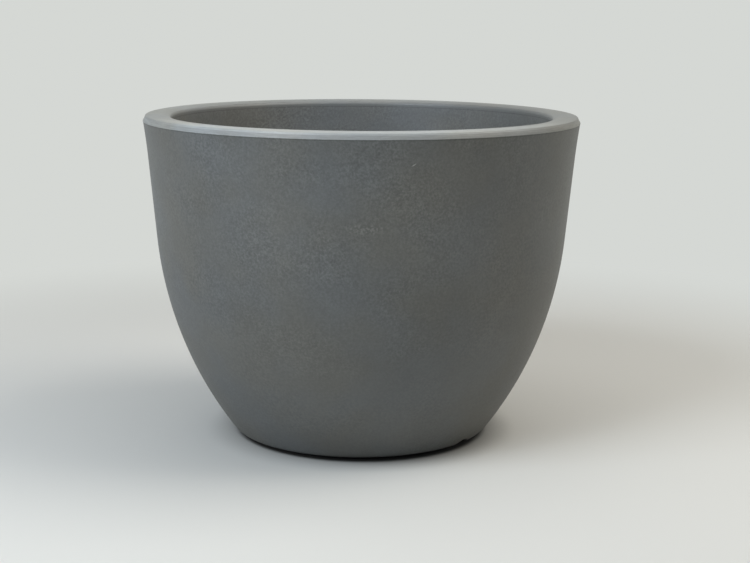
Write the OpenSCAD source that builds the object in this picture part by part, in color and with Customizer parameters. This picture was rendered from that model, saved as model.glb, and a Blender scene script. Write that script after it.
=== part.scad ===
// Round plastic planter with a belly, a broad crowned rim and a drained foot.
// One moulded shell, a push-in drain plug under its floor and a loose strainer
// over its drain hole. Stands on z = 0 with its axis on Z; millimetres.

/* [Pot] */
// Diameter over the rim's outer edge
rim_d = 400; // [380:1:460]
// Overall height
pot_h = 297.8; // [280:0.1:400]
// Diameter at which the line of the wall meets the ground
base_d = 231.4; // [180:0.1:260]
// Thickness of the moulded wall
wall_t = 4.5; // [3:0.1:6]

/* [Wall curve] */
// Height at which the curved belly runs into the straight upper wall
belly_h = 185; // [145:1:215]
// Lean of the upper wall from upright, in degrees
upper_taper = 5.2; // [3:0.1:6.5]
// Height of the flared band under the rim
flare_h = 34; // [15:1:45]
// Lean of the wall where it reaches the rim, in degrees
flare_lean = 8.4; // [7.5:0.1:14]

/* [Rim] */
// Width of the rim, from its outer edge to the mouth
rim_w = 25.5; // [22:0.5:40]
// Distance of the middle of the rim's crown from its outer edge
crown_w = 11.5; // [8:0.5:16]
// Width of the level land on the crown
crown_land = 4; // [2:0.5:8]
// Fall of the rim's top from the crown to the mouth
crown_fall = 2.2; // [0.4:0.1:2.5]
// Thickness of the rim under its crown
rim_t = 5.5; // [4.5:0.1:8]
// Radius of the soft edge around the mouth
mouth_round = 3.5; // [1.5:0.5:4]
// Height of the rim's outer edge above the parting line
edge_h = 6; // [5.4:0.1:8]
// Width of the narrow bevel above the parting line
bevel_w = 1.5; // [1:0.1:3]
// Rise of that bevel towards the rim
bevel_rise = 2.7; // [1.5:0.1:3]
// Width of the steep shoulder between the bevel and the rim's top
shoulder_w = 0.8; // [0.6:0.1:2]
// Thickness of the trimmed parting ridge
ridge_t = 0.4; // [0.3:0.1:0.8]
// How far the parting ridge stands proud of the wall
ridge_proud = 0.2; // [0.2:0.1:1]

/* [Inner skirt] */
// Depth of the skirt that hangs inside the rim, from the rim's top
skirt_h = 55; // [35:1:90]
// Thickness of the skirt
skirt_t = 4; // [3:0.1:6]
// Draft of the skirt, in degrees, so the mouth is widest at the top
skirt_draft = 1.5; // [0:0.1:3]

/* [Foot and floor] */
// Height of the wall's bottom edge above the ground
toe_h = 2.5; // [1.5:0.1:4]
// Radius of the soft turn between the wall and its underside
toe_round = 12; // [2:0.5:12]
// How far the foot ring is set in from the line of the wall at the ground
foot_set_in = 7; // [5.5:0.5:12]
// Width of the foot ring at the ground
foot_w = 7; // [6:0.5:16]
// Draft of the recess inside the foot ring, in degrees
recess_draft = 10; // [3:1:20]
// Height of the recess under the floor
recess_h = 14; // [12:0.5:24]
// Thickness of the floor
floor_t = 5; // [4:0.1:8]
// Radius where the floor meets the wall inside
floor_round = 10; // [4:0.5:13]

/* [Drainage] */
// Diameter of the drain hole
drain_d = 25; // [16:0.5:34]
// Number of drain notches through the foot ring
notch_count = 2; // [1:1:6]
// Direction of the first notch, in degrees from +X
notch_dir = -39; // [-180:1:180]
// Width of a notch at the ground
notch_w = 19; // [12:0.5:26]
// Height of a notch's round arch
notch_h = 9.5; // [4.5:0.5:10]

/* [Drain plug] */
// Diameter of the plug's flange
flange_d = 40; // [37:0.5:56]
// Thickness of the plug's flange
flange_t = 3; // [2:0.1:4]
// How far the plug's tip stays below the strainer's seat
plug_sink = 0.6; // [0.3:0.1:1]
// Radial clearance of the plug in the drain hole
plug_clear = 0.08; // [0.02:0.01:0.1]
// Length of the plug's grip bar
grip_w = 24; // [14:0.5:30]
// Thickness of the grip bar
grip_t = 5; // [3.5:0.5:8]
// Height of the grip bar below the flange
grip_h = 6; // [4:0.5:6.5]

/* [Strainer] */
// Diameter of the strainer's seat in the floor
seat_d = 86; // [78:0.5:120]
// Depth of that seat
seat_depth = 1.5; // [0.8:0.1:2.5]
// Radial clearance of the strainer in its seat
seat_clear = 0.5; // [0.3:0.1:1.5]
// Height of the strainer's foot ring
strainer_h = 4; // [3.5:0.5:8]
// Width of the strainer's foot ring
strainer_ring_w = 3; // [2:0.5:5]
// Thickness of the strainer's plate
plate_t = 2.2; // [1.6:0.1:4]
// Diameter of a strainer hole
hole_d = 3.6; // [2:0.1:3.9]
// Spacing of the holes along a row
hole_pitch = 9; // [7:0.5:14]
// Spacing of the rows of holes
row_pitch = 7.5; // [6:0.5:12]
// Width of the slots that let water under the foot ring
slot_w = 6; // [3:0.5:9]
// Height of those slots
slot_h = 2; // [1:0.1:2.5]
// Number of those slots
slot_count = 8; // [3:1:12]
// Diameter of the finger knob
knob_d = 15; // [11:0.5:22]
// Height of the finger knob above the plate
knob_h = 9; // [6:0.5:14]

/* [Hidden] */
shell_col = [0.38, 0.385, 0.37];
rubber_col = [0.12, 0.12, 0.12];
strainer_col = [0.2, 0.2, 0.2];

// Gap that keeps a seated piece just off its seat
seat_gap = 0.1;
// Corner radii of the shell
recess_round = 4;
foot_inner_round = 2;
foot_round = 1.5;
toe_inner_round = 0.8;
shoulder_round = 1;
skirt_edge_round = 0.8;
rim_inner_round = 3;
seat_round = 0.6;
// Corner radii of the plug
flange_round = 1;
flange_top_round = 0.5;
plug_tip_round = 0.8;
// Corner radii of the strainer
plate_round = 1.2;
ring_round = 0.4;
knob_foot_round = 2;
knob_round = 1.6;
// Solid left between a strainer hole and the next form
hole_land = 1;
// Waist of the finger knob, as shares of its radius and its height
knob_waist = 0.62;
knob_waist_low = 0.45;
knob_waist_high = 0.62;
// Finger hollow along each side of the plug's grip bar, as shares of the bar's thickness and height
hollow_d = 0.8;
hollow_depth = 0.2;
hollow_height = 0.45;
// How far a cut runs past the surface that it opens
cut_over = 2;
// Degrees that one chord of a wall arc turns through, at most
arc_step = 1.25;
// Chords in a rounded corner
corner_steps = 6;
// Chords across each side of the rim's crowned top
crown_steps = 3;
// Sides of the revolved shapes
$fn = 180;

rim_r = rim_d / 2;
base_r = base_d / 2;

// The outer wall from the ground up: an arc, a straight taper and a flare
part_z = pot_h - edge_h;
flare_z = part_z - flare_h;
wall_top_r = rim_r - ridge_proud;
flare_arc = flare_h / (sin(flare_lean) - sin(upper_taper));
flare_r = wall_top_r - flare_arc * (cos(upper_taper) - cos(flare_lean));
flare_centre = [flare_r + flare_arc * cos(upper_taper), flare_z - flare_arc * sin(upper_taper)];
belly_r = flare_r - (flare_z - belly_h) * tan(upper_taper);
base_lean = 2 * atan((belly_r - base_r) / belly_h) - upper_taper;
belly_arc = belly_h / (sin(base_lean) - sin(upper_taper));
belly_centre = [belly_r - belly_arc * cos(upper_taper), belly_h + belly_arc * sin(upper_taper)];

// Where the inside of the wall meets the floor and the underside of the rim
floor_z = recess_h + floor_t;
seat_z = floor_z - seat_depth;
rim_under_z = pot_h - rim_t;
floor_lean = asin((belly_centre[1] - floor_z) / (belly_arc - wall_t));
rim_lean = asin((rim_under_z - flare_centre[1]) / (flare_arc + wall_t));

mouth_r = rim_r - rim_w;
crown_in = rim_w - crown_w;
crown_out = crown_w - bevel_w - shoulder_w;
crown_half = crown_land / 2;
crown_arc = (pow(crown_in - crown_half, 2) + crown_fall * crown_fall) / (2 * crown_fall);
crown_chords = concat(
    [for (i = [1:crown_steps]) crown_out - (crown_out - crown_half) * i / crown_steps],
    [for (i = [0:crown_steps - 1]) -crown_half - (crown_in - crown_half) * i / crown_steps]);
skirt_z = pot_h - skirt_h;
toe_lean = asin((belly_centre[1] - toe_h) / belly_arc);
toe_end_lean = toe_lean - asin(toe_round * tan(45 - toe_lean / 2) / belly_arc);
foot_r = base_r - foot_set_in;
recess_r = foot_r - foot_w;
recess_top_r = recess_r - recess_h * tan(recess_draft);

// Point of the belly arc at a lean, set in by a thickness
function belly_point(lean, inset = 0) =
    belly_centre + (belly_arc - inset) * [cos(lean), -sin(lean)];

// Point of the flare arc at a lean, set in by a thickness
function flare_point(lean, inset = 0) =
    flare_centre + (flare_arc + inset) * [-cos(lean), sin(lean)];

// Point of the rim's crowned top at a distance outwards from the crown's middle
function crown_point(x) =
    let (past_land = max(0, abs(x) - crown_half))
    [rim_r - crown_w + x, pot_h - crown_arc + sqrt(crown_arc * crown_arc - past_land * past_land)];

// Evenly spaced leans from one value to another
function leans(from, to) =
    let (n = ceil(abs(to - from) / arc_step))
    [for (i = [0:n]) from + (to - from) * i / n];

// Points of the arc that rounds corner q between p and s
function corner(p, q, s, r) =
    let (
        u = (p - q) / norm(p - q),
        v = (s - q) / norm(s - q),
        half = acos(u * v) / 2,
        centre = q + (u + v) / norm(u + v) * r / sin(half),
        start = q + u * r / tan(half) - centre,
        end = q + v * r / tan(half) - centre,
        from = atan2(start[1], start[0]),
        turn = (atan2(end[1], end[0]) - from + 540) % 360 - 180
    )
    [for (i = [0:corner_steps]) centre + r * [cos(from + turn * i / corner_steps),
                                              sin(from + turn * i / corner_steps)]];

// An outline of [radius, height, corner radius] with its corners rounded
function rounded(path) =
    [for (i = [0:len(path) - 1])
        let (q = path[i], flat = function (p) [p[0], p[1]])
        each (len(q) < 3 || i == 0 || i == len(path) - 1)
            ? [flat(q)]
            : corner(flat(path[i - 1]), flat(q), flat(path[i + 1]), q[2])];

shell_outline = rounded(concat(
    [
        [0, recess_h],
        [recess_top_r, recess_h, recess_round],
        [recess_r, 0, foot_inner_round],
        [foot_r, 0, foot_round],
        [foot_r, toe_h, toe_inner_round],
        concat(belly_point(toe_lean), [toe_round])
    ],
    [for (a = leans(toe_lean, upper_taper)) if (a < toe_end_lean) belly_point(a)],
    [for (a = leans(upper_taper, flare_lean)) flare_point(a)],
    [
        [rim_r, part_z],
        [rim_r, part_z + ridge_t],
        [rim_r - bevel_w, part_z + ridge_t + bevel_rise],
        concat(crown_point(crown_out), [shoulder_round])
    ],
    [for (x = crown_chords) crown_point(x)],
    [
        concat(crown_point(-crown_in), [mouth_round]),
        [mouth_r - skirt_h * tan(skirt_draft), skirt_z, skirt_edge_round],
        [mouth_r - skirt_h * tan(skirt_draft) + skirt_t, skirt_z, skirt_edge_round],
        [mouth_r - rim_t * tan(skirt_draft) + skirt_t, rim_under_z, rim_inner_round],
        concat(flare_point(rim_lean, wall_t), [rim_inner_round])
    ],
    [for (a = leans(rim_lean, upper_taper)) if (a < rim_lean) flare_point(a, wall_t)],
    [for (a = leans(upper_taper, floor_lean)) if (a < floor_lean) belly_point(a, wall_t)],
    [
        concat(belly_point(floor_lean, wall_t), [floor_round]),
        [seat_d / 2, floor_z, seat_round],
        [seat_d / 2, seat_z],
        [0, seat_z]
    ]
));

// One drain notch, a round arch cut straight out through the foot ring
module notch() {
    arch_r = (notch_w * notch_w / 4 + notch_h * notch_h) / (2 * notch_h);
    from_r = recess_top_r - cut_over;
    to_r = base_r + notch_h * tan(base_lean) + cut_over;
    translate([from_r, 0, notch_h - arch_r])
        rotate([0, 90, 0])
            cylinder(h = to_r - from_r, r = arch_r, $fn = 96);
}

module pot_shell() {
    color(shell_col)
        difference() {
            rotate_extrude()
                polygon(shell_outline);
            translate([0, 0, recess_h - cut_over])
                cylinder(h = floor_t + 2 * cut_over, d = drain_d);
            for (i = [0:notch_count - 1])
                rotate(notch_dir + i * 360 / notch_count)
                    notch();
        }
}

module drain_plug() {
    body_r = drain_d / 2 - plug_clear;
    top_z = seat_z - plug_sink;
    flange_top_z = recess_h - seat_gap;
    flange_z = flange_top_z - flange_t;
    flange_r = flange_d / 2;
    color(rubber_col) {
        rotate_extrude()
            polygon(rounded([
                [0, flange_z],
                [flange_r, flange_z, flange_round],
                [flange_r, flange_top_z, flange_top_round],
                [body_r, flange_top_z],
                [body_r, top_z, plug_tip_round],
                [0, top_z]
            ]));
        translate([0, 0, flange_z - grip_h])
            grip_bar();
    }
}

// Bar that fingers pull the plug out by, with round ends and a waist
module grip_bar() {
    end_x = grip_w / 2 - grip_t / 2;
    hollow_y = grip_t * (1 + hollow_d) / 2 - grip_t * hollow_depth;
    difference() {
        union() {
            translate([-end_x, -grip_t / 2, 0])
                cube([2 * end_x, grip_t, grip_h + flange_t / 2]);
            for (side = [-1, 1])
                translate([side * end_x, 0, 0])
                    cylinder(h = grip_h + flange_t / 2, d = grip_t, $fn = 64);
        }
        for (side = [-1, 1])
            translate([-end_x, side * hollow_y, grip_h * hollow_height])
                rotate([0, 90, 0])
                    cylinder(h = 2 * end_x, d = grip_t * hollow_d, $fn = 64);
    }
}

module drain_strainer() {
    outer_r = seat_d / 2 - seat_clear;
    ring_r = outer_r - strainer_ring_w;
    foot_z = seat_z + seat_gap;
    plate_z = foot_z + strainer_h;
    top_z = plate_z + plate_t;
    knob_r = knob_d / 2;
    waist_r = knob_r * knob_waist;
    first_row = waist_r + knob_foot_round + hole_d / 2 + hole_land;
    last_row = ring_r - seat_round - hole_d / 2 - hole_land;
    color(strainer_col)
        difference() {
            rotate_extrude()
                polygon(rounded([
                    [0, plate_z],
                    [ring_r, plate_z, seat_round],
                    [ring_r, foot_z],
                    [outer_r, foot_z, ring_round],
                    [outer_r, top_z, plate_round],
                    [waist_r, top_z, knob_foot_round],
                    [waist_r, top_z + knob_h * knob_waist_low, plate_round],
                    [knob_r, top_z + knob_h * knob_waist_high, ring_round],
                    [knob_r, top_z + knob_h, knob_round],
                    [0, top_z + knob_h]
                ]));
            for (r = [first_row:row_pitch:last_row])
                let (n = floor(2 * PI * r / hole_pitch))
                    for (i = [0:n - 1])
                        rotate(i * 360 / n)
                            translate([r, 0, plate_z - cut_over])
                                cylinder(h = plate_t + 2 * cut_over, d = hole_d, $fn = 32);
            for (i = [0:slot_count - 1])
                rotate((i + 0.5) * 360 / slot_count)
                    translate([ring_r - cut_over, -slot_w / 2, foot_z - cut_over])
                        cube([strainer_ring_w + 2 * cut_over, slot_w, slot_h + cut_over]);
        }
}

pot_shell();
drain_plug();
drain_strainer();
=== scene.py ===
"""Round bellied plastic planter, shown in a plain pale studio.

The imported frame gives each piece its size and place. The shell is turned here as a fresh mesh from
the same wall curve, which lets its corners, its trimmed parting ridge and its slightly lifted toe be
modelled. All lengths are in metres, with +Z up and the pot's axis on Z.
"""

import logging
import math
from dataclasses import dataclass
from enum import Enum
from typing import Any, Callable

import bpy
from mathutils import Matrix, Vector


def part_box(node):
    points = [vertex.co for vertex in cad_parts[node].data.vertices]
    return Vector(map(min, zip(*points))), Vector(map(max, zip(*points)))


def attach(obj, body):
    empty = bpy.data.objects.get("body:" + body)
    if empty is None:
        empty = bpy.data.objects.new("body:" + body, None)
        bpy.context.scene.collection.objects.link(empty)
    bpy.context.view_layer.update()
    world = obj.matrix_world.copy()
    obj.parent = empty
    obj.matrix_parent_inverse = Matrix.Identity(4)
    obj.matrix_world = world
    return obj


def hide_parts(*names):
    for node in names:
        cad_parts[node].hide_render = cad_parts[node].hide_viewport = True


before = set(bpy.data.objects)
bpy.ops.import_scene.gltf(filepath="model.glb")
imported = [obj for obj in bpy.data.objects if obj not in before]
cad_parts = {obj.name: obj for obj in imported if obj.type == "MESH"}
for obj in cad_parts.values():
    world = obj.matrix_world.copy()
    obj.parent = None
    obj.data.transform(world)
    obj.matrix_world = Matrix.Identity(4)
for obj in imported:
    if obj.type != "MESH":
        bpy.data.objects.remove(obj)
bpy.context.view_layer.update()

LOG = logging.getLogger("planter")

Point = tuple[float, float]
Span = tuple[float, float]
Triple = tuple[float, float, float]
Colour = tuple[float, float, float]
Socket = bpy.types.NodeSocket
# Points of an outline as (radius, height), or as (radius, height, corner radius)
Path = list[tuple[float, ...]]

MM = 0.001
MERGE_DISTANCE = 1e-6
CORNER_STEPS = 6
EDGE_STEPS = 2
SHARP_ANGLE = math.radians(50)
SMOOTH_ANGLE = math.radians(40)
NO_TURN = Vector((0.0, 0.0, 0.0))
ONE_EACH = (1.0, 1.0, 1.0)

# Where a noise counts as low and as high: nearly all of it, its soft clouds, or its firm patches
WHOLE_NOISE = (0.28, 0.72)
SOFT_CLOUDS = (0.3, 0.7)
FIRM_PATCHES = (0.35, 0.65)


class Body(Enum):
    """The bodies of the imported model."""

    POT = "pot"
    PLUG = "plug"
    STRAINER = "strainer"


class Node(Enum):
    """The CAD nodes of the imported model."""

    SHELL = "pot_shell"
    PLUG = "drain_plug"
    STRAINER = "drain_strainer"


class Slot(Enum):
    """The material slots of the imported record."""

    SHELL = "shell_plastic"
    PLUG = "plug_rubber"
    STRAINER = "strainer_plastic"


# Drawing an outline


def rounded_corner(before: Point, at: Point, after: Point, radius: float) -> list[Point]:
    """Rounds one corner of an outline with an arc.

    Args:
        before: The outline's point before the corner.
        at: The corner itself.
        after: The outline's point after the corner.
        radius: Radius of the arc.

    Returns:
        The points of the arc, in the outline's direction.
    """
    corner = Vector(at)
    back = (Vector(before) - corner).normalized()
    onward = (Vector(after) - corner).normalized()
    half = back.angle(onward) / 2
    centre = corner + (back + onward).normalized() * radius / math.sin(half)
    start = corner + back * radius / math.tan(half) - centre
    end = corner + onward * radius / math.tan(half) - centre
    first = math.atan2(start.y, start.x)
    turn = math.remainder(math.atan2(end.y, end.x) - first, math.tau)
    angles = [first + turn * i / CORNER_STEPS for i in range(CORNER_STEPS + 1)]
    return [(centre.x + radius * math.cos(a), centre.y + radius * math.sin(a)) for a in angles]


def closed_outline(path: Path, longest: float) -> list[Point]:
    """Rounds the corners of a closed outline and divides its long straight runs.

    Args:
        path: The outline's points and corners.
        longest: Longest step that is left between two points.

    Returns:
        The outline's points, the first of them repeated at the end.
    """
    drawn: list[Point] = []
    for i, corner in enumerate(path):
        at = corner[:2]
        if len(corner) > 2:
            after = path[(i + 1) % len(path)][:2]
            drawn += rounded_corner(path[i - 1][:2], at, after, corner[2])
        else:
            drawn.append(at)
    fine: list[Point] = []
    for a, b in zip(drawn, drawn[1:] + drawn[:1]):
        parts = max(1, math.ceil(math.dist(a, b) / longest))
        fine += [(a[0] + (b[0] - a[0]) * k / parts, a[1] + (b[1] - a[1]) * k / parts)
                 for k in range(parts)]
    return fine + fine[:1]


# Modelling with the editor's tools


def deselect_all() -> None:
    """Clears the selection, which the loaded frame leaves on its nodes."""
    bpy.ops.object.select_all(action="DESELECT")


def enter_edit(piece: bpy.types.Object, select: str = "SELECT") -> None:
    """Opens a piece in edit mode, to work on its vertices.

    Args:
        piece: The piece.
        select: SELECT to start with all of it selected, DESELECT with none of it.
    """
    deselect_all()
    piece.select_set(True)
    bpy.context.view_layer.objects.active = piece
    bpy.ops.object.mode_set(mode="EDIT")
    bpy.ops.mesh.select_mode(type="VERT")
    bpy.ops.mesh.select_all(action=select)


def leave_edit() -> None:
    """Closes edit mode."""
    bpy.ops.object.mode_set(mode="OBJECT")


def turned(name: str, outline: list[Point], segments: int) -> bpy.types.Object:
    """Turns an outline round the Z axis, as on a lathe.

    Args:
        name: Name of the new piece.
        outline: Points as (radius, height).
        segments: Sides of the turned form.

    Returns:
        The piece, its seam merged and its faces pointing outwards.
    """
    deselect_all()
    start = (outline[0][0], 0.0, outline[0][1])
    bpy.ops.mesh.primitive_plane_add(size=MM, location=start)
    piece = bpy.context.object
    piece.name = piece.data.name = name
    bpy.ops.object.transform_apply(location=True, rotation=True, scale=True)
    enter_edit(piece)
    bpy.ops.mesh.merge(type="CENTER")
    for a, b in zip(outline, outline[1:]):
        step = (b[0] - a[0], 0.0, b[1] - a[1])
        bpy.ops.mesh.extrude_region_move(TRANSFORM_OT_translate={"value": step})
    bpy.ops.mesh.select_all(action="SELECT")
    bpy.ops.mesh.spin(steps=segments, angle=math.tau, center=(0, 0, 0), axis=(0, 0, 1))
    bpy.ops.mesh.select_all(action="SELECT")
    bpy.ops.mesh.remove_doubles(threshold=MERGE_DISTANCE)
    bpy.ops.mesh.normals_make_consistent(inside=False)
    leave_edit()
    return piece


def block(size: Triple, middle: Triple) -> bpy.types.Object:
    """Adds a plain block to shape, with its place in its mesh.

    Args:
        size: Its size along each axis.
        middle: Its middle.

    Returns:
        The block.
    """
    deselect_all()
    bpy.ops.mesh.primitive_cube_add(size=1, location=middle, scale=size)
    bpy.ops.object.transform_apply(location=True, rotation=True, scale=True)
    return bpy.context.object


def round_edges(piece: bpy.types.Object, radius: float, steps: int,
                chosen: Callable[[Vector], bool]) -> None:
    """Rounds the edges that run between the corners that a rule picks.

    Args:
        piece: The piece.
        radius: How far the rounding reaches from each edge.
        steps: Faces across the rounding.
        chosen: Tells from a corner's place whether it is picked.
    """
    # A new primitive is selected all over
    enter_edit(piece, "DESELECT")
    leave_edit()
    for vertex in piece.data.vertices:
        vertex.select = chosen(vertex.co)
    bpy.ops.object.mode_set(mode="EDIT")
    bpy.ops.mesh.select_mode(type="EDGE")
    bpy.ops.mesh.bevel(offset=radius, segments=steps)
    leave_edit()


def moved_copies(form: bpy.types.Object, places: list[Matrix]) -> bpy.types.Object:
    """Copies a form to several places, each copy with its own mesh, and joins them.

    Args:
        form: The form that is copied; it is used up.
        places: Where each copy goes.

    Returns:
        The joined copies, with their place in their mesh.
    """
    deselect_all()
    copies = []
    for place in places:
        copy = form.copy()
        copy.data = form.data.copy()
        copy.data.transform(place)
        bpy.context.scene.collection.objects.link(copy)
        copy.select_set(True)
        copies.append(copy)
    bpy.data.objects.remove(form)
    bpy.context.view_layer.objects.active = copies[0]
    bpy.ops.object.join()
    return bpy.context.object


def cut(piece: bpy.types.Object, cutter: bpy.types.Object, operation: str = "DIFFERENCE") -> None:
    """Cuts a piece with another form, or joins them, and uses the form up.

    Args:
        piece: The piece that is cut.
        cutter: The other form.
        operation: DIFFERENCE to cut, UNION to join.
    """
    boolean = piece.modifiers.new("cut", "BOOLEAN")
    boolean.operation = operation
    boolean.solver = "EXACT"
    boolean.object = cutter
    apply_modifier(piece, boolean)
    bpy.data.objects.remove(cutter)


def soften(piece: bpy.types.Object, width: float) -> None:
    """Breaks the sharp edges of a piece, and shades it smooth.

    Args:
        piece: The piece.
        width: Width of the broken edges.
    """
    bevel = piece.modifiers.new("soft_edges", "BEVEL")
    bevel.width = width
    bevel.segments = EDGE_STEPS
    bevel.limit_method = "ANGLE"
    bevel.angle_limit = SHARP_ANGLE
    bevel.use_clamp_overlap = True
    apply_modifier(piece, bevel)
    shade_smooth(piece)


def shade_smooth(piece: bpy.types.Object) -> None:
    """Shades a piece smooth but for its sharp edges.

    Args:
        piece: The piece.
    """
    deselect_all()
    piece.select_set(True)
    bpy.context.view_layer.objects.active = piece
    bpy.ops.object.shade_smooth_by_angle(angle=SMOOTH_ANGLE)


def apply_modifier(piece: bpy.types.Object, modifier: bpy.types.Modifier) -> None:
    """Applies one modifier of a piece."""
    with bpy.context.temp_override(object=piece, active_object=piece, selected_objects=[piece]):
        bpy.ops.object.modifier_apply(modifier=modifier.name)


def vertex_group(piece: bpy.types.Object, name: str, share: Callable[[Vector], float]) -> str:
    """Makes a vertex group whose weights follow a rule.

    Args:
        piece: The piece that gets the group.
        name: Name of the group.
        share: Gives a vertex's weight, from 0 to 1, from its place.

    Returns:
        The group's name.
    """
    group = piece.vertex_groups.new(name=name)
    for vertex in piece.data.vertices:
        weight = share(vertex.co)
        if weight > 0:
            group.add([vertex.index], weight, "REPLACE")
    return group.name


# Finishes


def seen_by_rays(tree: bpy.types.NodeTree) -> Socket:
    """Tells the rays that look from the rays that light.

    Args:
        tree: The node tree that gets the nodes.

    Returns:
        1 for camera, glossy and transmission rays, 0 for the others.
    """
    path = tree.nodes.new("ShaderNodeLightPath")
    total: Socket = path.outputs["Is Camera Ray"]
    for name in ("Is Glossy Ray", "Is Transmission Ray"):
        either = tree.nodes.new("ShaderNodeMath")
        either.operation = "MAXIMUM"
        tree.links.new(total, either.inputs[0])
        tree.links.new(path.outputs[name], either.inputs[1])
        total = either.outputs[0]
    return total


class Bench:
    """A new material's node tree, with short calls for the nodes that the finishes share."""

    spot_core: float = 0.3

    def __init__(self, name: str) -> None:
        """Starts a material of one Principled shader on Object coordinates.

        Args:
            name: Name of the material.
        """
        self.material = bpy.data.materials.new(name)
        self.material.use_nodes = True
        self.tree = self.material.node_tree
        self.shader = next(n for n in self.tree.nodes if n.type == "BSDF_PRINCIPLED")
        self.place: Socket = self.tree.nodes.new("ShaderNodeTexCoord").outputs["Object"]

    def feed(self, socket: Socket, value: Any) -> None:
        """Links a socket into an input, or sets the input to a plain value.

        Args:
            socket: The input.
            value: A socket, a colour, or a plain value.
        """
        if isinstance(value, bpy.types.NodeSocket):
            self.tree.links.new(value, socket)
        elif isinstance(value, tuple) and len(value) == 3 and socket.type == "RGBA":
            socket.default_value = (*value, 1.0)
        else:
            socket.default_value = value

    def math(self, operation: str, a: Any, b: Any = 0.0) -> Socket:
        """Adds a Math node.

        Args:
            operation: The node's operation.
            a: First value.
            b: Second value.

        Returns:
            The result.
        """
        node = self.tree.nodes.new("ShaderNodeMath")
        node.operation = operation
        self.feed(node.inputs[0], a)
        self.feed(node.inputs[1], b)
        return node.outputs[0]

    def ramp(self, value: Socket, low: float, high: float,
             to_low: float = 0.0, to_high: float = 1.0) -> Socket:
        """Adds a smooth step from one value to another.

        Args:
            value: What the step follows.
            low: Where the step starts.
            high: Where it ends.
            to_low: Result up to the start.
            to_high: Result from the end on.

        Returns:
            The result.
        """
        node = self.tree.nodes.new("ShaderNodeMapRange")
        node.interpolation_type = "SMOOTHSTEP"
        self.feed(node.inputs["Value"], value)
        for name, number in (("From Min", low), ("From Max", high),
                             ("To Min", to_low), ("To Max", to_high)):
            node.inputs[name].default_value = number
        return node.outputs["Result"]

    def product(self, first: Any, *others: Any) -> Socket:
        """Multiplies values.

        Args:
            first: The first value.
            others: The values that it is multiplied by, one after the other.

        Returns:
            The product.
        """
        for other in others:
            first = self.math("MULTIPLY", first, other)
        return first

    def opposite(self, mask: Socket) -> Socket:
        """Gives 1 where a mask is 0, and 0 where it is 1."""
        return self.math("SUBTRACT", 1.0, mask)

    def gained(self, mask: Socket, gain: float) -> Socket:
        """Gives a factor that is 1 off a mask and a gain on it."""
        return self.ramp(mask, 0.0, 1.0, 1.0, gain)

    def mapped(self, centre: Vector, turn: Vector, reach: Triple) -> Socket:
        """Adds coordinates of their own for a pattern or a mark.

        Args:
            centre: Their origin.
            turn: How they are turned.
            reach: The length that counts as 1 along each axis.

        Returns:
            The coordinates.
        """
        node = self.tree.nodes.new("ShaderNodeMapping")
        node.vector_type = "TEXTURE"
        self.feed(node.inputs["Vector"], self.place)
        node.inputs["Location"].default_value = centre
        node.inputs["Rotation"].default_value = turn
        node.inputs["Scale"].default_value = reach
        return node.outputs["Vector"]

    def noise(self, size: float, detail: float = 2.0, roughness: float = 0.5,
              shift: float = 0.0, flatness: float = 1.0) -> Socket:
        """Adds a noise and gives its value.

        Args:
            size: Rough size of the noise's features.
            detail: Number of finer layers.
            roughness: Share that each finer layer keeps.
            shift: Picks one of many patterns.
            flatness: How many times lower than wide the features are.

        Returns:
            The noise's value, around 0.5.
        """
        node = self.tree.nodes.new("ShaderNodeTexNoise")
        node.noise_dimensions = "4D"
        around = self.mapped(Vector(), NO_TURN, (size, size, size / flatness))
        self.feed(node.inputs["Vector"], around)
        node.inputs["W"].default_value = shift
        node.inputs["Scale"].default_value = 1.0
        node.inputs["Detail"].default_value = detail
        node.inputs["Roughness"].default_value = roughness
        return node.outputs["Fac"]

    def blend(self, share: Any, a: Any, b: Any, kind: str = "MIX") -> Socket:
        """Adds a colour Mix node.

        Args:
            share: Share of the second colour.
            a: First colour.
            b: Second colour.
            kind: How they are mixed.

        Returns:
            The mixed colour.
        """
        node = self.tree.nodes.new("ShaderNodeMix")
        node.data_type = "RGBA"
        node.blend_type = kind
        node.clamp_factor = True
        self.feed(node.inputs["Factor"], share)
        self.feed(node.inputs[6], a)
        self.feed(node.inputs[7], b)
        return node.outputs[2]

    def shaded(self, colour: Any, shade: Socket) -> Socket:
        """Multiplies a colour by a factor.

        Args:
            colour: The colour.
            shade: The factor.

        Returns:
            The shaded colour.
        """
        grey = self.tree.nodes.new("ShaderNodeCombineColor")
        for channel in grey.inputs:
            self.feed(channel, shade)
        return self.blend(1.0, colour, grey.outputs[0], kind="MULTIPLY")

    def distance(self, centre: Vector, turn: Vector = NO_TURN,
                 reach: Triple = ONE_EACH) -> Socket:
        """Measures the distance from a point.

        Args:
            centre: The point.
            turn: How the axes are turned.
            reach: The length that counts as 1 along each of them.

        Returns:
            The distance.
        """
        node = self.tree.nodes.new("ShaderNodeVectorMath")
        node.operation = "LENGTH"
        self.feed(node.inputs[0], self.mapped(centre, turn, reach))
        return node.outputs["Value"]

    def spot(self, centre: Vector, turn: Vector, reach: Triple) -> Socket:
        """Gives 1 in the middle of a turned ellipsoid and 0 outside it."""
        return self.ramp(self.distance(centre, turn, reach), self.spot_core, 1.0, 1.0, 0.0)

    def radius(self) -> Socket:
        """Measures the distance from the upright axis.

        Returns:
            The distance.
        """
        flat = self.tree.nodes.new("ShaderNodeVectorMath")
        flat.operation = "MULTIPLY"
        self.feed(flat.inputs[0], self.place)
        flat.inputs[1].default_value = (1.0, 1.0, 0.0)
        length = self.tree.nodes.new("ShaderNodeVectorMath")
        length.operation = "LENGTH"
        self.feed(length.inputs[0], flat.outputs["Vector"])
        return length.outputs["Value"]

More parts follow.
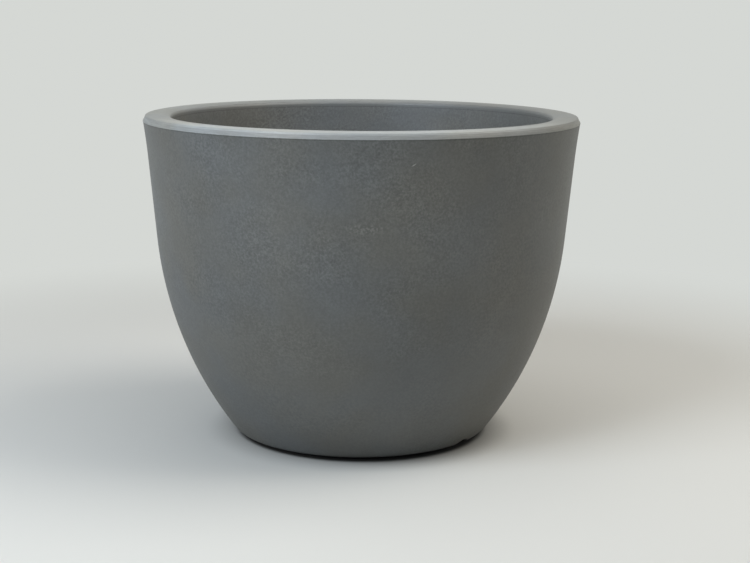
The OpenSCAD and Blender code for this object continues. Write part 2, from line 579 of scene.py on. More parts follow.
    def along(self, axis: str) -> Socket:
        """Measures the distance along one axis.

        Args:
            axis: X, Y or Z.

        Returns:
            The distance.
        """
        node = self.tree.nodes.new("ShaderNodeSeparateXYZ")
        self.feed(node.inputs[0], self.place)
        return node.outputs[axis]

    def bump(self, height: Socket, depth: float, strength: Any, over: Socket | None = None) -> Socket:
        """Adds a Bump node.

        Args:
            height: The relief.
            depth: Its depth.
            strength: Share of it that shows.
            over: The normal that it goes over, if there is one.

        Returns:
            The normal.
        """
        node = self.tree.nodes.new("ShaderNodeBump")
        node.inputs["Distance"].default_value = depth
        self.feed(node.inputs["Strength"], strength)
        self.feed(node.inputs["Height"], height)
        if over is not None:
            self.feed(node.inputs["Normal"], over)
        return node.outputs["Normal"]

    def glow(self, colour: Colour, share: Socket) -> None:
        """Mixes a plain glow over the shader.

        Args:
            colour: Colour of the glow.
            share: Share of the glow.
        """
        light = self.tree.nodes.new("ShaderNodeEmission")
        self.feed(light.inputs["Color"], colour)
        mix = self.tree.nodes.new("ShaderNodeMixShader")
        self.feed(mix.inputs["Fac"], share)
        self.tree.links.new(self.shader.outputs[0], mix.inputs[1])
        self.tree.links.new(light.outputs[0], mix.inputs[2])
        output = next(n for n in self.tree.nodes if n.type == "OUTPUT_MATERIAL")
        self.tree.links.new(mix.outputs[0], output.inputs["Surface"])

    def finish(self, **inputs: Any) -> bpy.types.Material:
        """Feeds the shader's inputs.

        Args:
            inputs: A value or socket for each input, its name written with underscores.

        Returns:
            The material.
        """
        for name, value in inputs.items():
            self.feed(self.shader.inputs[name.replace("_", " ")], value)
        return self.material


@dataclass(frozen=True)
class SandyPlastic:
    """Rotationally moulded plastic with a fine sandy speckle and faint cloudy patches.

    The rim's top is rubbed smooth and carries a painted sheen, stronger at its front and on the
    front's outer slope. The edge that was trimmed above the parting line is paler and streaked and
    carries a painted highlight, and both have painted shade towards +X. The upper inside carries
    painted light, a painted shadow runs just under the parting line, the speckle fades towards the
    foot, and painted shade darkens the toe and the foot ring. The side towards +X carries a painted
    warm light and painted shade. A gain multiplies the colour's brightness.
    """

    crown_z: float
    trim_z: float
    skin_r: float
    name: str = "sandy_plastic"
    cool: Colour = (0.113, 0.119, 0.119)
    warm: Colour = (0.116, 0.116, 0.106)
    # Painted warm light: across this span towards +X the colour turns warm
    warm_x: Span = (0.05, 0.165)
    warm_light_share: float = 0.6
    # Painted shade: the side towards +X is darkened by this gain
    far_shade_gain: float = 0.93
    patch_size: float = 0.085
    patch_gain: float = 0.07
    mottle_size: float = 0.011
    mottle_gain: float = 0.05
    speckle_size: float = 0.0022
    speckle_gain: float = 0.15
    speckle_fade: Span = (0.06, 0.2)
    foot_speckle: float = 0.6
    edge_speckle: float = 0.12
    grain_size: float = 0.0013
    grain_gain: float = 0.12
    grain_depth: float = 0.0002
    grain_bump: float = 0.35
    mottle_depth: float = 0.0006
    mottle_bump: float = 0.08
    uneven_size: float = 0.05
    uneven_gain: Span = (0.55, 1.2)
    calm_x: Span = (0.03, 0.13)
    calm_gain: float = 0.72
    roughness: float = 0.5
    gloss_swing: float = 0.05
    crown_roughness: float = 0.4
    crown_depth: float = 0.0026
    # Painted sheen: the rim's top is brightened by these gains, most at its front and on the front's
    # outer slope
    crown_sheen_gain: float = 1.62
    front_sheen_gain: float = 1.5
    slope_highlight_gain: float = 1.3
    slope_r: Span = (0.186, 0.192)
    front_y: Span = (-0.19, 0.0)
    # Painted shade on the rim's top and its trimmed edge towards +X
    right_shade_x: Span = (0.06, 0.15)
    right_shade_gain: float = 0.81
    # The trimmed edge is partly pale of its own, and this gain adds a painted highlight on it
    trim_highlight_gain: float = 2.35
    # Painted shadow in a thin band just under the parting ridge
    seam_shadow_h: float = 0.0011
    seam_shadow_gain: float = 0.75
    # Painted light on the upper part of the inside wall
    inside_light_gain: float = 1.45
    inside_light_z: Span = (0.212, 0.235)
    # Painted shade on the toe and the foot ring, near the ground
    foot_z: Span = (0.0028, 0.0065)
    foot_shade_gain: float = 0.15
    streak_size: float = 0.012
    streak_flatness: float = 14.0
    streak_gain: float = 0.10
    crown_streak: float = 0.06
    fade: float = 0.0006
    trim_fade: float = 0.00015
    scuff_at: Vector = Vector((0.0416, -0.1917, 0.2715))
    scuff_turn: Vector = Vector((0.0, math.radians(-30), 0.0))
    scuff_reach: Triple = (0.0034, 0.004, 0.0007)
    scuff_gain: float = 2.3
    smudge_at: Vector = Vector((0.0036, -0.19, 0.2196))
    smudge_reach: Triple = (0.022, 0.02, 0.006)
    smudge_speckle: Span = (0.4, 0.65)
    smudge_gain: float = 1.25

    def varied(self, bench: Bench, noise: Socket, gain: Any) -> Socket:
        """Gives a factor around 1 that follows a noise by a gain."""
        swing = bench.ramp(noise, *WHOLE_NOISE, -1.0, 1.0)
        return bench.math("ADD", bench.product(swing, gain), 1.0)

    def body_colour(self, bench: Bench) -> Socket:
        """Draws the plastic's own colour, in cool and warm patches, with a painted warm light towards
        +X.

        Args:
            bench: The material's nodes.

        Returns:
            The colour.
        """
        tint = bench.ramp(bench.noise(self.patch_size, detail=2.0), *FIRM_PATCHES)
        # Painted warm light towards +X, added to the warm share of the patches
        painted_warm_light = bench.ramp(bench.along("X"), *self.warm_x, 0.0, self.warm_light_share)
        return bench.blend(bench.math("ADD", tint, painted_warm_light), self.cool, self.warm)

    def texture(self, bench: Bench, mottle: Socket, speckle: Socket, grain: Socket) -> list[Socket]:
        """Draws the cloudy patches and the sandy texture, which is stronger in some places.

        Args:
            bench: The material's nodes.
            mottle: The coarsest noise of the texture.
            speckle: The noise of its sand.
            grain: The finest noise.

        Returns:
            Factors of the colour.
        """
        height = bench.along("Z")
        strength = bench.product(
            bench.ramp(height, *self.speckle_fade, self.foot_speckle, 1.0),
            bench.ramp(height, self.trim_z, self.trim_z + self.fade, 1.0, self.edge_speckle),
            bench.ramp(bench.noise(self.uneven_size, detail=2.0, shift=13.0), *FIRM_PATCHES,
                       *self.uneven_gain),
            bench.ramp(bench.along("X"), *self.calm_x, 1.0, self.calm_gain))
        patches = bench.noise(self.patch_size, detail=3.0, shift=5.0)
        layers = ((mottle, self.mottle_gain), (speckle, self.speckle_gain), (grain, self.grain_gain))
        return [self.varied(bench, patches, self.patch_gain),
                *(self.varied(bench, noise, bench.product(strength, gain)) for noise, gain in layers)]

    def rim_sheen_and_trim(self, bench: Bench, crown: Socket, outer: Socket) -> list[Socket]:
        """Draws the painted sheen on the rim's top, and the trimmed edge under it with its painted
        highlight, both with painted shade towards +X.

        Args:
            bench: The material's nodes.
            crown: Mask of the rim's top.
            outer: Mask of the wall's outside.

        Returns:
            Factors of the colour.
        """
        # The trimmed edge: a little paler of its own, and brightened further by a painted highlight
        trim = bench.ramp(bench.along("Z"), self.trim_z, self.trim_z + self.trim_fade)
        trim = bench.product(trim, bench.opposite(crown), outer)
        # Painted sheen at the front of the rim's top, and a painted highlight on its outer slope there
        front = bench.product(crown, bench.ramp(bench.along("Y"), *self.front_y, 1.0, 0.0))
        slope = bench.product(front, bench.ramp(bench.radius(), *self.slope_r))
        edge = bench.math("MAXIMUM", trim, crown)
        # Painted shade on the rim towards +X
        right_shade = bench.product(edge, bench.ramp(bench.along("X"), *self.right_shade_x))
        streaked = bench.math("MAXIMUM", bench.product(trim, self.streak_gain),
                              bench.product(crown, self.crown_streak))
        streaks = bench.noise(self.streak_size, detail=2.0, shift=11.0, flatness=self.streak_flatness)
        gains = ((trim, self.trim_highlight_gain), (crown, self.crown_sheen_gain), (front, self.front_sheen_gain),
                 (slope, self.slope_highlight_gain), (right_shade, self.right_shade_gain))
        return [self.varied(bench, streaks, streaked), *(bench.gained(*pair) for pair in gains)]

    def marks_and_painted_shading(self, bench: Bench, crown: Socket, outer: Socket, speckle: Socket) -> list[Socket]:
        """Draws the two marks, with the painted light on the upper inside and the painted shade under
        the parting line, on the foot and towards +X.

        Args:
            bench: The material's nodes.
            crown: Mask of the rim's top.
            outer: Mask of the wall's outside.
            speckle: The noise of the sand, which breaks up the smudge.

        Returns:
            Factors of the colour.
        """
        height = bench.along("Z")
        # Painted light on the upper part of the inside wall
        inside = bench.product(bench.opposite(outer), bench.ramp(height, *self.inside_light_z),
                               bench.opposite(crown))
        # Painted shadow just under the parting ridge
        seam = bench.product(
            bench.ramp(height, self.trim_z - self.seam_shadow_h, self.trim_z - self.seam_shadow_h / 2),
            bench.ramp(height, self.trim_z, self.trim_z + self.trim_fade, 1.0, 0.0))
        scuff = bench.spot(self.scuff_at, self.scuff_turn, self.scuff_reach)
        smudge = bench.product(bench.spot(self.smudge_at, NO_TURN, self.smudge_reach),
                               bench.ramp(speckle, *self.smudge_speckle))
        return [
            bench.gained(inside, self.inside_light_gain),
            bench.gained(seam, self.seam_shadow_gain),
            # Painted shade on the toe and the foot ring
            bench.ramp(height, *self.foot_z, self.foot_shade_gain, 1.0),
            bench.gained(scuff, self.scuff_gain),
            bench.gained(smudge, self.smudge_gain),
            # Painted shade on the side towards +X
            bench.ramp(bench.along("X"), *self.warm_x, 1.0, self.far_shade_gain),
        ]

    def material(self) -> bpy.types.Material:
        """Builds the material.

        Returns:
            The material.
        """
        bench = Bench(self.name)
        crown_z = self.crown_z - self.crown_depth
        crown = bench.ramp(bench.along("Z"), crown_z, crown_z + self.fade)
        rest = bench.opposite(crown)
        outer = bench.ramp(bench.radius(), self.skin_r - self.fade, self.skin_r)
        mottle = bench.noise(self.mottle_size, detail=3.0, shift=3.0)
        speckle = bench.noise(self.speckle_size, detail=1.0, shift=9.0)
        grain = bench.noise(self.grain_size, detail=2.0, roughness=0.6, shift=7.0)
        shade = bench.product(
            *self.texture(bench, mottle, speckle, grain),
            *self.rim_sheen_and_trim(bench, crown, outer),
            *self.marks_and_painted_shading(bench, crown, outer, speckle))
        colour = bench.shaded(self.body_colour(bench), shade)

        gloss = bench.ramp(grain, *SOFT_CLOUDS, -self.gloss_swing, self.gloss_swing)
        gloss = bench.math("ADD", bench.product(gloss, rest),
                           bench.ramp(crown, 0.0, 1.0, self.roughness, self.crown_roughness))
        normal = bench.bump(grain, self.grain_depth, bench.product(rest, self.grain_bump))
        normal = bench.bump(mottle, self.mottle_depth, bench.product(rest, self.mottle_bump), normal)
        return bench.finish(Base_Color=colour, Roughness=gloss, Normal=normal)


@dataclass(frozen=True)
class MouldedPlastic:
    """Injection-moulded plastic with a faint satin texture."""

    name: str
    colour: Colour
    worn: Colour
    roughness: float
    smoother: float = 0.05
    rougher: float = 0.07
    patch_size: float = 0.02
    worn_patches: Span = (0.4, 0.75)
    grain_size: float = 0.0008
    grain_depth: float = 0.0001
    grain_bump: float = 0.3

    def material(self) -> bpy.types.Material:
        """Builds the material.

        Returns:
            The material.
        """
        bench = Bench(self.name)
        patches = bench.noise(self.patch_size, detail=3.0, shift=2.0)
        colour = bench.blend(bench.ramp(patches, *self.worn_patches), self.colour, self.worn)
        gloss = bench.ramp(patches, *SOFT_CLOUDS, self.roughness - self.smoother,
                           self.roughness + self.rougher)
        grain = bench.noise(self.grain_size, detail=2.0)
        normal = bench.bump(grain, self.grain_depth, self.grain_bump)
        return bench.finish(Base_Color=colour, Roughness=gloss, Normal=normal)


CHARCOAL = MouldedPlastic("charcoal_plastic", (0.05, 0.052, 0.053), (0.068, 0.069, 0.068), 0.42)
BLACK_RUBBER = MouldedPlastic("black_rubber", (0.02, 0.02, 0.021), (0.034, 0.033, 0.032), 0.72)


# The pot's shell


@dataclass
class PotShell:
    """The moulded shell: outer wall, hollow rim with its inner skirt, foot ring and floor."""

    rim_r: float
    height: float
    base_r: float = 0.1157
    wall: float = 0.0045
    belly_h: float = 0.185
    upper_taper: float = math.radians(5.2)
    flare_h: float = 0.034
    flare_lean: float = math.radians(8.4)
    rim_w: float = 0.0255
    crown_w: float = 0.0115
    crown_land: float = 0.004
    crown_fall: float = 0.0022
    crown_steps: int = 8
    rim_t: float = 0.0055
    mouth_round: float = 0.0035
    edge_h: float = 0.006
    bevel_w: float = 0.0015
    bevel_rise: float = 0.0027
    shoulder_w: float = 0.0008
    shoulder_round: float = 0.001
    ridge_t: float = 0.0004
    ridge_proud: float = 0.0002
    skirt_h: float = 0.055
    skirt_t: float = 0.004
    skirt_draft: float = math.radians(1.5)
    skirt_edge_round: float = 0.0008
    rim_inner_round: float = 0.003
    toe_h: float = 0.0025
    toe_round: float = 0.012
    toe_inner_round: float = 0.0008
    toe_lift: float = 0.0006
    toe_dir: float = math.radians(-55)
    toe_fade: float = 0.025
    toe_focus: float = 1.5
    toe_start_in: float = 0.0005
    toe_start_up: float = 0.0001
    foot_set_in: float = 0.007
    foot_w: float = 0.007
    foot_round: float = 0.0015
    foot_inner_round: float = 0.002
    recess_draft: float = math.radians(10)
    recess_h: float = 0.014
    recess_round: float = 0.004
    floor_t: float = 0.005
    floor_round: float = 0.010
    drain_r: float = 0.0125
    drain_round: float = 0.0006
    seat_r: float = 0.043
    seat_depth: float = 0.0015
    seat_round: float = 0.0006
    notch_count: int = 2
    notch_dir: float = math.radians(-39)
    notch_w: float = 0.019
    notch_h: float = 0.0095
    notch_sides: int = 96
    segments: int = 336
    longest: float = 0.006

    def __post_init__(self) -> None:
        """Works out the wall's arcs from the driving sizes."""
        lean, taper = self.flare_lean, self.upper_taper
        self.part_z = self.height - self.edge_h
        self.flare_z = self.part_z - self.flare_h
        self.wall_top_r = self.rim_r - self.ridge_proud
        self.flare_arc = self.flare_h / (math.sin(lean) - math.sin(taper))
        self.flare_r = self.wall_top_r - self.flare_arc * (math.cos(taper) - math.cos(lean))
        self.flare_centre = (self.flare_r + self.flare_arc * math.cos(taper),
                             self.flare_z - self.flare_arc * math.sin(taper))
        self.belly_r = self.flare_r - (self.flare_z - self.belly_h) * math.tan(taper)
        self.base_lean = 2 * math.atan((self.belly_r - self.base_r) / self.belly_h) - taper
        self.belly_arc = self.belly_h / (math.sin(self.base_lean) - math.sin(taper))
        self.belly_centre = (self.belly_r - self.belly_arc * math.cos(taper),
                             self.belly_h + self.belly_arc * math.sin(taper))
        self.floor_z = self.recess_h + self.floor_t
        self.mouth_r = self.rim_r - self.rim_w
        self.foot_r = self.base_r - self.foot_set_in
        self.recess_r = self.foot_r - self.foot_w
        slope_w = self.rim_w - self.crown_w - self.crown_land / 2
        self.crown_arc = (slope_w ** 2 + self.crown_fall ** 2) / (2 * self.crown_fall)

    def belly(self, lean: float, inset: float = 0.0) -> Point:
        """Gives the point of the belly's arc at a lean, set in by a thickness."""
        reach, (r, z) = self.belly_arc - inset, self.belly_centre
        return r + reach * math.cos(lean), z - reach * math.sin(lean)

    def flare(self, lean: float, inset: float = 0.0) -> Point:
        """Gives the point of the flare's arc at a lean, set in by a thickness."""
        reach, (r, z) = self.flare_arc + inset, self.flare_centre
        return r - reach * math.cos(lean), z + reach * math.sin(lean)

    def crown(self) -> Path:
        """Draws the rim's crowned top from the shoulder in to the mouth.

        Returns:
            Its points, the two ends as corners with a radius.
        """
        land, middle = self.crown_land / 2, self.rim_r - self.crown_w
        top = self.height - self.crown_arc
        shoulder = self.crown_w - self.bevel_w - self.shoulder_w
        path: Path = []
        for side, end in ((1, shoulder), (-1, self.rim_w - self.crown_w)):
            away = [(end - land) * i / self.crown_steps for i in range(self.crown_steps + 1)]
            points = [(middle + side * (land + d), top + math.sqrt(self.crown_arc ** 2 - d * d))
                      for d in away]
            path += reversed(points) if side > 0 else points
        path[0] = (*path[0], self.shoulder_round)
        path[-1] = (*path[-1], self.mouth_round)
        return path

    def swept(self, arc: Callable[[float, float], Point], first: float, last: float,
              radius: float, inset: float) -> list[Point]:
        """Draws evenly spaced points along one of the wall's arcs.

        Args:
            arc: The arc, either belly or flare.
            first: Lean at which it starts.
            last: Lean at which it ends.
            radius: Radius of the arc.
            inset: Thickness by which it is set in.

        Returns:
            The points, without the first one.
        """
        steps = max(2, math.ceil(abs(last - first) * radius / self.longest))
        return [arc(first + (last - first) * i / steps, inset) for i in range(1, steps + 1)]

    def outline(self) -> list[Point]:
        """Draws the shell's half section, from the drain hole out, up, in and down again.

        Returns:
            The section's points.
        """
        recess_top_r = self.recess_r - self.recess_h * math.tan(self.recess_draft)
        toe_lean = math.asin((self.belly_centre[1] - self.toe_h) / self.belly_arc)
        toe_run = self.toe_round * math.tan(math.pi / 4 - toe_lean / 2)
        toe_end_lean = toe_lean - math.asin(toe_run / self.belly_arc)
        skirt_z = self.height - self.skirt_h
        skirt_r = self.mouth_r - self.skirt_h * math.tan(self.skirt_draft)
        rim_under_z = self.height - self.rim_t
        rim_under_r = self.mouth_r - self.rim_t * math.tan(self.skirt_draft) + self.skirt_t
        rim_lean = math.asin((rim_under_z - self.flare_centre[1]) / (self.flare_arc + self.wall))
        floor_lean = math.asin((self.belly_centre[1] - self.floor_z) / (self.belly_arc - self.wall))
        taper = self.upper_taper
        seat_z = self.floor_z - self.seat_depth
        path: Path = [
            (self.drain_r, seat_z, self.drain_round),
            (self.drain_r, self.recess_h, self.drain_round),
            (recess_top_r, self.recess_h, self.recess_round),
            (self.recess_r, 0.0, self.foot_inner_round),
            (self.foot_r, 0.0, self.foot_round),
            (self.foot_r, self.toe_h, self.toe_inner_round),
            (*self.belly(toe_lean), self.toe_round),
        ]
        path += self.swept(self.belly, toe_end_lean, taper, self.belly_arc, 0.0)
        path += [self.flare(taper)]
        path += self.swept(self.flare, taper, self.flare_lean, self.flare_arc, 0.0)
        path += [
            (self.rim_r, self.part_z),
            (self.rim_r, self.part_z + self.ridge_t),
            (self.rim_r - self.bevel_w, self.part_z + self.ridge_t + self.bevel_rise),
            *self.crown(),
            (skirt_r, skirt_z, self.skirt_edge_round),
            (skirt_r + self.skirt_t, skirt_z, self.skirt_edge_round),
            (rim_under_r, rim_under_z, self.rim_inner_round),
            (*self.flare(rim_lean, self.wall), self.rim_inner_round),
        ]
        path += self.swept(self.flare, rim_lean, taper, self.flare_arc, self.wall)
        path += [self.belly(taper, self.wall)]
        path += self.swept(self.belly, taper, floor_lean, self.belly_arc, self.wall)[:-1]
        path += [
            (*self.belly(floor_lean, self.wall), self.floor_round),
            (self.seat_r, self.floor_z, self.seat_round),
            (self.seat_r, seat_z),
        ]
        return closed_outline(path, self.longest)

    def cut_notches(self, shell: bpy.types.Object) -> None:
        """Cuts the round-arched drain notches straight out through the foot ring.

        Args:
            shell: The turned shell.
        """
        arch_r = (self.notch_w ** 2 / 4 + self.notch_h ** 2) / (2 * self.notch_h)
        for i in range(self.notch_count):
            way = self.notch_dir + math.tau * i / self.notch_count
            middle = (self.base_r * math.cos(way), self.base_r * math.sin(way), self.notch_h - arch_r)
            deselect_all()
            bpy.ops.mesh.primitive_cylinder_add(
                vertices=self.notch_sides, radius=arch_r, depth=self.base_r / 2, location=middle,
                rotation=(math.pi / 2, 0, way + math.pi / 2))
            cut(shell, bpy.context.object)

    def lift_toe(self, shell: bpy.types.Object) -> None:
        """Lifts the wall's toe a little at one side, where it stands clearer of the ground.

        Args:
            shell: The turned shell.
        """
        inner_r = self.foot_r - self.toe_start_in
        low, high = self.foot_round + self.toe_start_up, self.toe_h + self.toe_fade

        def share(at: Vector) -> float:
            """Tells how far a point of the shell follows the lift.

            Args:
                at: The point.

            Returns:
                Its share, from 0 to 1.
            """
            away = math.hypot(at.x, at.y)
            if not (inner_r <= away <= self.belly_r and low <= at.z <= high):
                return 0.0
            facing = (at.x * math.cos(self.toe_dir) + at.y * math.sin(self.toe_dir)) / away
            fading = 1 - (at.z - self.toe_h) / self.toe_fade
            return max(0.0, facing) ** self.toe_focus * min(1.0, fading)

        lift = shell.modifiers.new("lifted_toe", "DISPLACE")
        lift.direction = "Z"
        lift.mid_level = 0.0
        lift.strength = self.toe_lift
        lift.vertex_group = vertex_group(shell, "toe", share)
        apply_modifier(shell, lift)

    def build(self) -> bpy.types.Object:
        """Models the shell.

        Returns:
            The finished piece.
        """
        shell = turned("moulded_shell", self.outline(), self.segments)
        self.lift_toe(shell)
        self.cut_notches(shell)
        shade_smooth(shell)
        return shell


# The drainage


@dataclass
class DrainStrainer:
    """The loose strainer over the drain hole: a perforated plate on a foot ring, with a finger knob."""

    outer_r: float
    foot_z: float
    knob_z: float
    ring_h: float = 0.004
    ring_w: float = 0.003
    ring_round: float = 0.0004
    inner_round: float = 0.0006
    plate_t: float = 0.0022
    plate_round: float = 0.0012
    knob_r: float = 0.0075
    knob_round: float = 0.0016
    knob_foot_round: float = 0.002
    waist: float = 0.62
    waist_low: float = 0.45
    waist_high: float = 0.62
    hole_r: float = 0.0018
    hole_flare: float = 0.0003
    hole_pitch: float = 0.009
    row_pitch: float = 0.0075
    hole_land: float = 0.001
    hole_sides: int = 20
    slot_w: float = 0.006
    slot_h: float = 0.002
    slot_round: float = 0.0006
    slot_steps: int = 4
    slot_count: int = 8
    over: float = 0.002
    edge: float = 0.00012
    segments: int = 192
    longest: float = 0.004

    def __post_init__(self) -> None:
        """Works out the heights and radii that the cuts share."""
        self.ring_r = self.outer_r - self.ring_w
        self.plate_z = self.foot_z + self.ring_h
        self.top_z = self.plate_z + self.plate_t
        self.waist_r = self.knob_r * self.waist

    def outline(self) -> list[Point]:
        """Draws the half section of the plate, its foot ring and its knob.

        Returns:
            The section's points.
        """
        knob_h = self.knob_z - self.top_z
        path: Path = [
            (0.0, self.plate_z),
            (self.ring_r, self.plate_z, self.inner_round),
            (self.ring_r, self.foot_z),
            (self.outer_r, self.foot_z, self.ring_round),
            (self.outer_r, self.top_z, self.plate_round),
            (self.waist_r, self.top_z, self.knob_foot_round),
            (self.waist_r, self.top_z + knob_h * self.waist_low, self.plate_round),
            (self.knob_r, self.top_z + knob_h * self.waist_high, self.ring_round),
            (self.knob_r, self.knob_z, self.knob_round),
            (0.0, self.knob_z),
        ]
        return closed_outline(path, self.longest)[:-1]

    def hole_places(self) -> list[Matrix]:
        """Places the holes in rings round the knob.

        Returns:
            The place of each hole.
        """
        first = self.waist_r + self.knob_foot_round + self.hole_r + self.hole_land
        last = self.ring_r - self.inner_round - self.hole_r - self.hole_land
        places = []
        for row in range(int((last - first) / self.row_pitch) + 1):
            radius = first + row * self.row_pitch
            count = int(math.tau * radius / self.hole_pitch)
            for i in range(count):
                turn = Matrix.Rotation(math.tau * i / count, 4, "Z")
                places.append(turn @ Matrix.Translation((radius, 0, 0)))
        return places

    def hole(self) -> bpy.types.Object:
        """Models the form that cuts one hole, flared a little at both faces of the plate.

        Returns:
            The form, in the middle of the plate.
        """
        low, high, wide = self.plate_z, self.top_z, self.hole_r + self.hole_flare
        return turned("hole", [
            (0.0, low - self.over), (wide, low - self.over), (wide, low),
            (self.hole_r, low + self.hole_flare), (self.hole_r, high - self.hole_flare),
            (wide, high), (wide, high + self.over), (0.0, high + self.over)], self.hole_sides)

    def slot(self) -> bpy.types.Object:
        """Models the form that cuts one water slot through the foot ring, its top edges round.

        Returns:
            The form, at +X.
        """
        size = (self.ring_w + 2 * self.over, self.slot_w, self.slot_h + self.over)
        middle = (self.ring_r + self.ring_w / 2, 0, self.foot_z + (self.slot_h - self.over) / 2)
        slot = block(size, middle)
        round_edges(slot, self.slot_round, self.slot_steps, lambda at: at.z > self.foot_z)
        return slot

    def build(self) -> bpy.types.Object:
        """Models the strainer.

        Returns:
            The finished piece.
        """
        strainer = turned("strainer_disc", self.outline(), self.segments)
        cut(strainer, moved_copies(self.hole(), self.hole_places()))
        turns = [Matrix.Rotation(math.tau * (i + 0.5) / self.slot_count, 4, "Z")
                 for i in range(self.slot_count)]
        cut(strainer, moved_copies(self.slot(), turns))
        soften(strainer, self.edge)
        return strainer


@dataclass
class DrainPlug:
    """The rubber plug: a stopper with a flange, and a grip bar to pull it out by."""

    flange_r: float
    grip_z: float
    tip_z: float
    body_r: float = 0.01242
    flange_z: float = 0.0109
    flange_t: float = 0.003
    flange_round: float = 0.001
    flange_top_round: float = 0.0005
    tip_round: float = 0.0008
    grip_w: float = 0.024
    grip_t: float = 0.005
    hollow_r: float = 0.002
    hollow_depth: float = 0.001
    hollow_share: float = 0.45
    hollow_sides: int = 32
    end_steps: int = 12
    edge: float = 0.0005
    segments: int = 128
    longest: float = 0.002

    def outline(self) -> list[Point]:
        """Draws the half section of the stopper and its flange.

        Returns:
            The section's points.
        """
        flange_top = self.flange_z + self.flange_t
        path: Path = [
            (0.0, self.flange_z),
            (self.flange_r, self.flange_z, self.flange_round),
            (self.flange_r, flange_top, self.flange_top_round),
            (self.body_r, flange_top),
            (self.body_r, self.tip_z, self.tip_round),
            (0.0, self.tip_z),
        ]
        return closed_outline(path, self.longest)[:-1]

    def grip(self) -> bpy.types.Object:
        """Models the grip bar, round all over, with a finger hollow along each side.

        Returns:
            The bar.
        """
        top = self.flange_z + self.flange_t / 2
        bar = block((self.grip_w, self.grip_t, top - self.grip_z), (0, 0, (top + self.grip_z) / 2))
        round_edges(bar, self.grip_t / 2 - MERGE_DISTANCE, self.end_steps, lambda at: True)
        height = self.grip_z + (self.flange_z - self.grip_z) * self.hollow_share
        away = self.grip_t / 2 + self.hollow_r - self.hollow_depth
        for side in (-1, 1):
            deselect_all()
            bpy.ops.mesh.primitive_cylinder_add(
                vertices=self.hollow_sides, radius=self.hollow_r, depth=self.grip_w - self.grip_t,
                location=(0, side * away, height), rotation=(0, math.pi / 2, 0))
            cut(bar, bpy.context.object)
        soften(bar, self.edge)
        return bar

    def build(self) -> bpy.types.Object:
        """Models the plug.

        Returns:
            The finished piece.
        """
        plug = turned("rubber_plug", self.outline(), self.segments)
        cut(plug, self.grip(), "UNION")
        shade_smooth(plug)
        return plug


# The studio


@dataclass(frozen=True)
class SoftBox:
    """One large soft lamp, turned towards the pot."""

    name: str
    place: Triple
    size: Span
    power: float
    colour: Colour = (1.0, 1.0, 1.0)
    aim: Triple = (0.0, 0.0, 0.15)

    def hang(self) -> bpy.types.Object:
        """Adds the lamp to the scene.

        Returns:
            The lamp.
        """
        deselect_all()
        bpy.ops.object.light_add(type="AREA", location=self.place)
        lamp = bpy.context.object
        lamp.name = lamp.data.name = self.name
        lamp.rotation_euler = (Vector(self.aim) - Vector(self.place)).to_track_quat("-Z", "Y").to_euler()
        lamp.data.shape = "RECTANGLE"
        lamp.data.size, lamp.data.size_y = self.size
        lamp.data.energy = self.power
        lamp.data.color = self.colour
        lamp.visible_camera = False
        return lamp


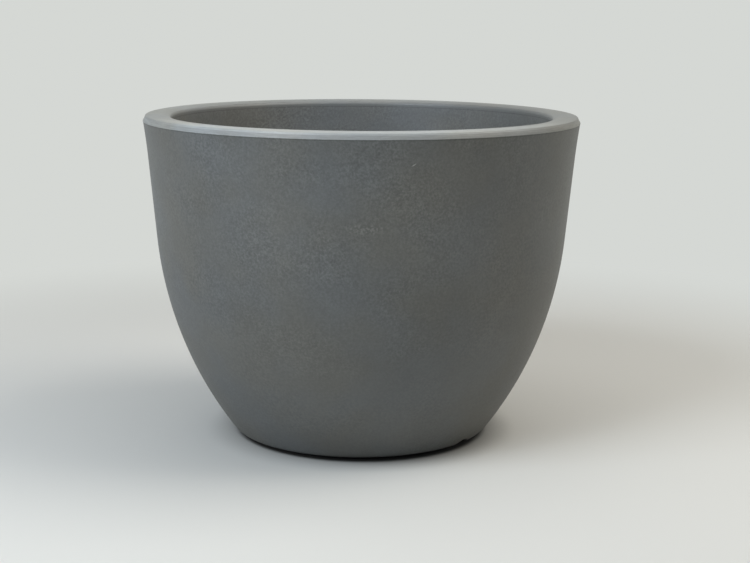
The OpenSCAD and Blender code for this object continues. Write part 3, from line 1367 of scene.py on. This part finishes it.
@dataclass(frozen=True)
class Studio:
    """The pale floor that runs out into the background, the soft lamps and the camera."""

    floor_colour: Colour = (0.712, 0.71, 0.672)
    floor_r: float = 12.0
    floor_sides: int = 96
    floor_roughness: float = 0.9
    cloud_size: float = 0.4
    cloud_gain: float = 0.985
    # Painted shadow on the floor round the foot: a dark ring at the contact and a wider soft shade
    contact_shadow_at: Vector = Vector((0.0008, -0.0003, 0.0))
    contact_shadow_r: Span = (0.1125, 0.1205)
    contact_shadow_gain: float = 0.05
    shade_r: Span = (0.105, 0.152)
    shade_gain: float = 0.5
    near_r: float = 0.4
    far_r: float = 0.95
    back_colour: Colour = (0.665, 0.685, 0.66)
    air: Colour = (1.0, 1.0, 1.0)
    air_strength: float = 0.005
    cool: Colour = (0.9, 0.98, 1.08)
    warm: Colour = (1.04, 1.0, 0.94)
    lens: float = 70.46
    eye: Triple = (0.0, -1.3589, 0.4022)
    pitch: float = 0.1908
    yaw: float = 0.00972
    roll: float = 0.0076
    sensor_w: float = 36.0

    def floor(self) -> bpy.types.Object:
        """Turns the floor, which carries a painted shadow round the foot and fades into the background's
        colour.

        Returns:
            The floor.
        """
        rings = [(radius, 0.0) for radius in (0.0, self.near_r, self.far_r, self.floor_r)]
        floor = turned("pale_floor", rings, self.floor_sides)
        bench = Bench("pale_floor")
        clouds = bench.ramp(bench.noise(self.cloud_size, detail=2.0), *SOFT_CLOUDS)
        dim = tuple(c * self.cloud_gain for c in self.floor_colour)
        colour = bench.blend(clouds, dim, self.floor_colour)
        # Painted shadow round the foot, wide and soft, then dark at the contact
        beside = bench.distance(self.contact_shadow_at)
        for reach, gain in ((self.shade_r, self.shade_gain), (self.contact_shadow_r, self.contact_shadow_gain)):
            dark = tuple(c * gain for c in self.floor_colour)
            colour = bench.blend(bench.ramp(beside, *reach), dark, colour)
        far = bench.ramp(bench.radius(), self.near_r, self.far_r)
        bench.glow(self.back_colour, bench.product(far, seen_by_rays(bench.tree)))
        floor.data.materials.append(bench.finish(Base_Color=colour, Roughness=self.floor_roughness))
        return floor

    def lamps(self) -> list[SoftBox]:
        """Lists the soft lamps.

        Returns:
            The lamps, each with its place, size, power and colour.
        """
        return [
            SoftBox("lamp_overhead", (0.0, 0.0, 2.0), (1.6, 1.6), 10.6),
            SoftBox("lamp_overhead_right", (1.2, 0.0, 1.8), (1.2, 1.2), 16.6, self.warm),
            SoftBox("lamp_overhead_back", (0.0, 1.3, 1.8), (1.2, 1.2), 2.3),
            SoftBox("lamp_high_right", (1.9, -0.4, 1.5), (1.2, 1.2), 8.0, self.warm),
            SoftBox("lamp_left", (-1.9, -0.1, 0.7), (1.2, 1.0), 3.5, self.cool),
            SoftBox("lamp_front_left", (-1.5, -1.7, 1.1), (1.0, 1.0), 16.0, self.cool),
            SoftBox("lamp_near_left", (-0.8, -0.8, 1.2), (0.7, 0.5), 9.8, self.cool),
        ]

    def light_air(self) -> None:
        """Sets the world: soft ambient light, and the plain background that rays see."""
        world = bpy.data.worlds.new("pale_air")
        world.use_nodes = True
        tree = world.node_tree
        light = tree.nodes["Background"]
        light.name = "ambient_light"
        light.inputs["Color"].default_value = (*self.air, 1.0)
        light.inputs["Strength"].default_value = self.air_strength
        seen = tree.nodes.new("ShaderNodeBackground")
        seen.inputs["Color"].default_value = (*self.back_colour, 1.0)
        choice = tree.nodes.new("ShaderNodeMixShader")
        tree.links.new(seen_by_rays(tree), choice.inputs["Fac"])
        tree.links.new(light.outputs[0], choice.inputs[1])
        tree.links.new(seen.outputs[0], choice.inputs[2])
        tree.links.new(choice.outputs[0], tree.nodes["World Output"].inputs["Surface"])
        bpy.context.scene.world = world

    def camera(self) -> bpy.types.Object:
        """Adds the camera at the photograph's viewpoint.

        Returns:
            The camera.
        """
        ahead = Vector((math.sin(self.yaw) * math.cos(self.pitch),
                        math.cos(self.yaw) * math.cos(self.pitch), -math.sin(self.pitch)))
        right = Vector((math.cos(self.yaw), -math.sin(self.yaw), 0.0))
        up = right.cross(ahead)
        across = right * math.cos(self.roll) + up * math.sin(self.roll)
        upward = up * math.cos(self.roll) - right * math.sin(self.roll)
        deselect_all()
        bpy.ops.object.camera_add()
        camera = bpy.context.object
        camera.name = camera.data.name = "photo_camera"
        turn = Matrix((across, upward, -ahead)).transposed()
        camera.matrix_world = Matrix.Translation(self.eye) @ turn.to_4x4()
        camera.data.sensor_fit = "HORIZONTAL"
        camera.data.sensor_width = self.sensor_w
        camera.data.lens = self.lens
        bpy.context.scene.camera = camera
        return camera

    def build(self) -> None:
        """Sets the whole studio."""
        self.camera()
        self.floor()
        for lamp in self.lamps():
            lamp.hang()
        self.light_air()
        bpy.context.scene.view_settings.view_transform = "Standard"


def hand_over(piece: bpy.types.Object, body: Body, node: Node,
              material: bpy.types.Material) -> None:
    """Dresses a finished piece, seats it on its body and lets it stand for its CAD node.

    Args:
        piece: The piece.
        body: The body that it rides on.
        node: The node that it replaces.
        material: Its material.
    """
    piece.data.materials.clear()
    piece.data.materials.append(material)
    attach(piece, body.value)
    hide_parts(node.value)
    LOG.info("%s: %d faces", piece.name, len(piece.data.polygons))


def main() -> None:
    """Builds the studio and the planter's pieces, and reports each of them."""
    logging.basicConfig(level=logging.INFO, format="%(name)s: %(message)s")
    Studio().build()
    LOG.info("studio ready")
    low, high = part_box(Node.SHELL.value)
    widest = min(high.x, -low.x, high.y, -low.y)
    pot = PotShell(rim_r=widest - MERGE_DISTANCE, height=high.z - MERGE_DISTANCE)
    finish = SandyPlastic(crown_z=pot.height, trim_z=pot.part_z, skin_r=pot.rim_r - 2 * pot.wall)
    hand_over(pot.build(), Body.POT, Node.SHELL, finish.material())
    low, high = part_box(Node.STRAINER.value)
    strainer = DrainStrainer(outer_r=high.y, foot_z=low.z, knob_z=high.z).build()
    hand_over(strainer, Body.STRAINER, Node.STRAINER, CHARCOAL.material())
    low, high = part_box(Node.PLUG.value)
    plug = DrainPlug(flange_r=high.y, grip_z=low.z, tip_z=high.z).build()
    hand_over(plug, Body.PLUG, Node.PLUG, BLACK_RUBBER.material())


if __name__ == "__main__":
    main()
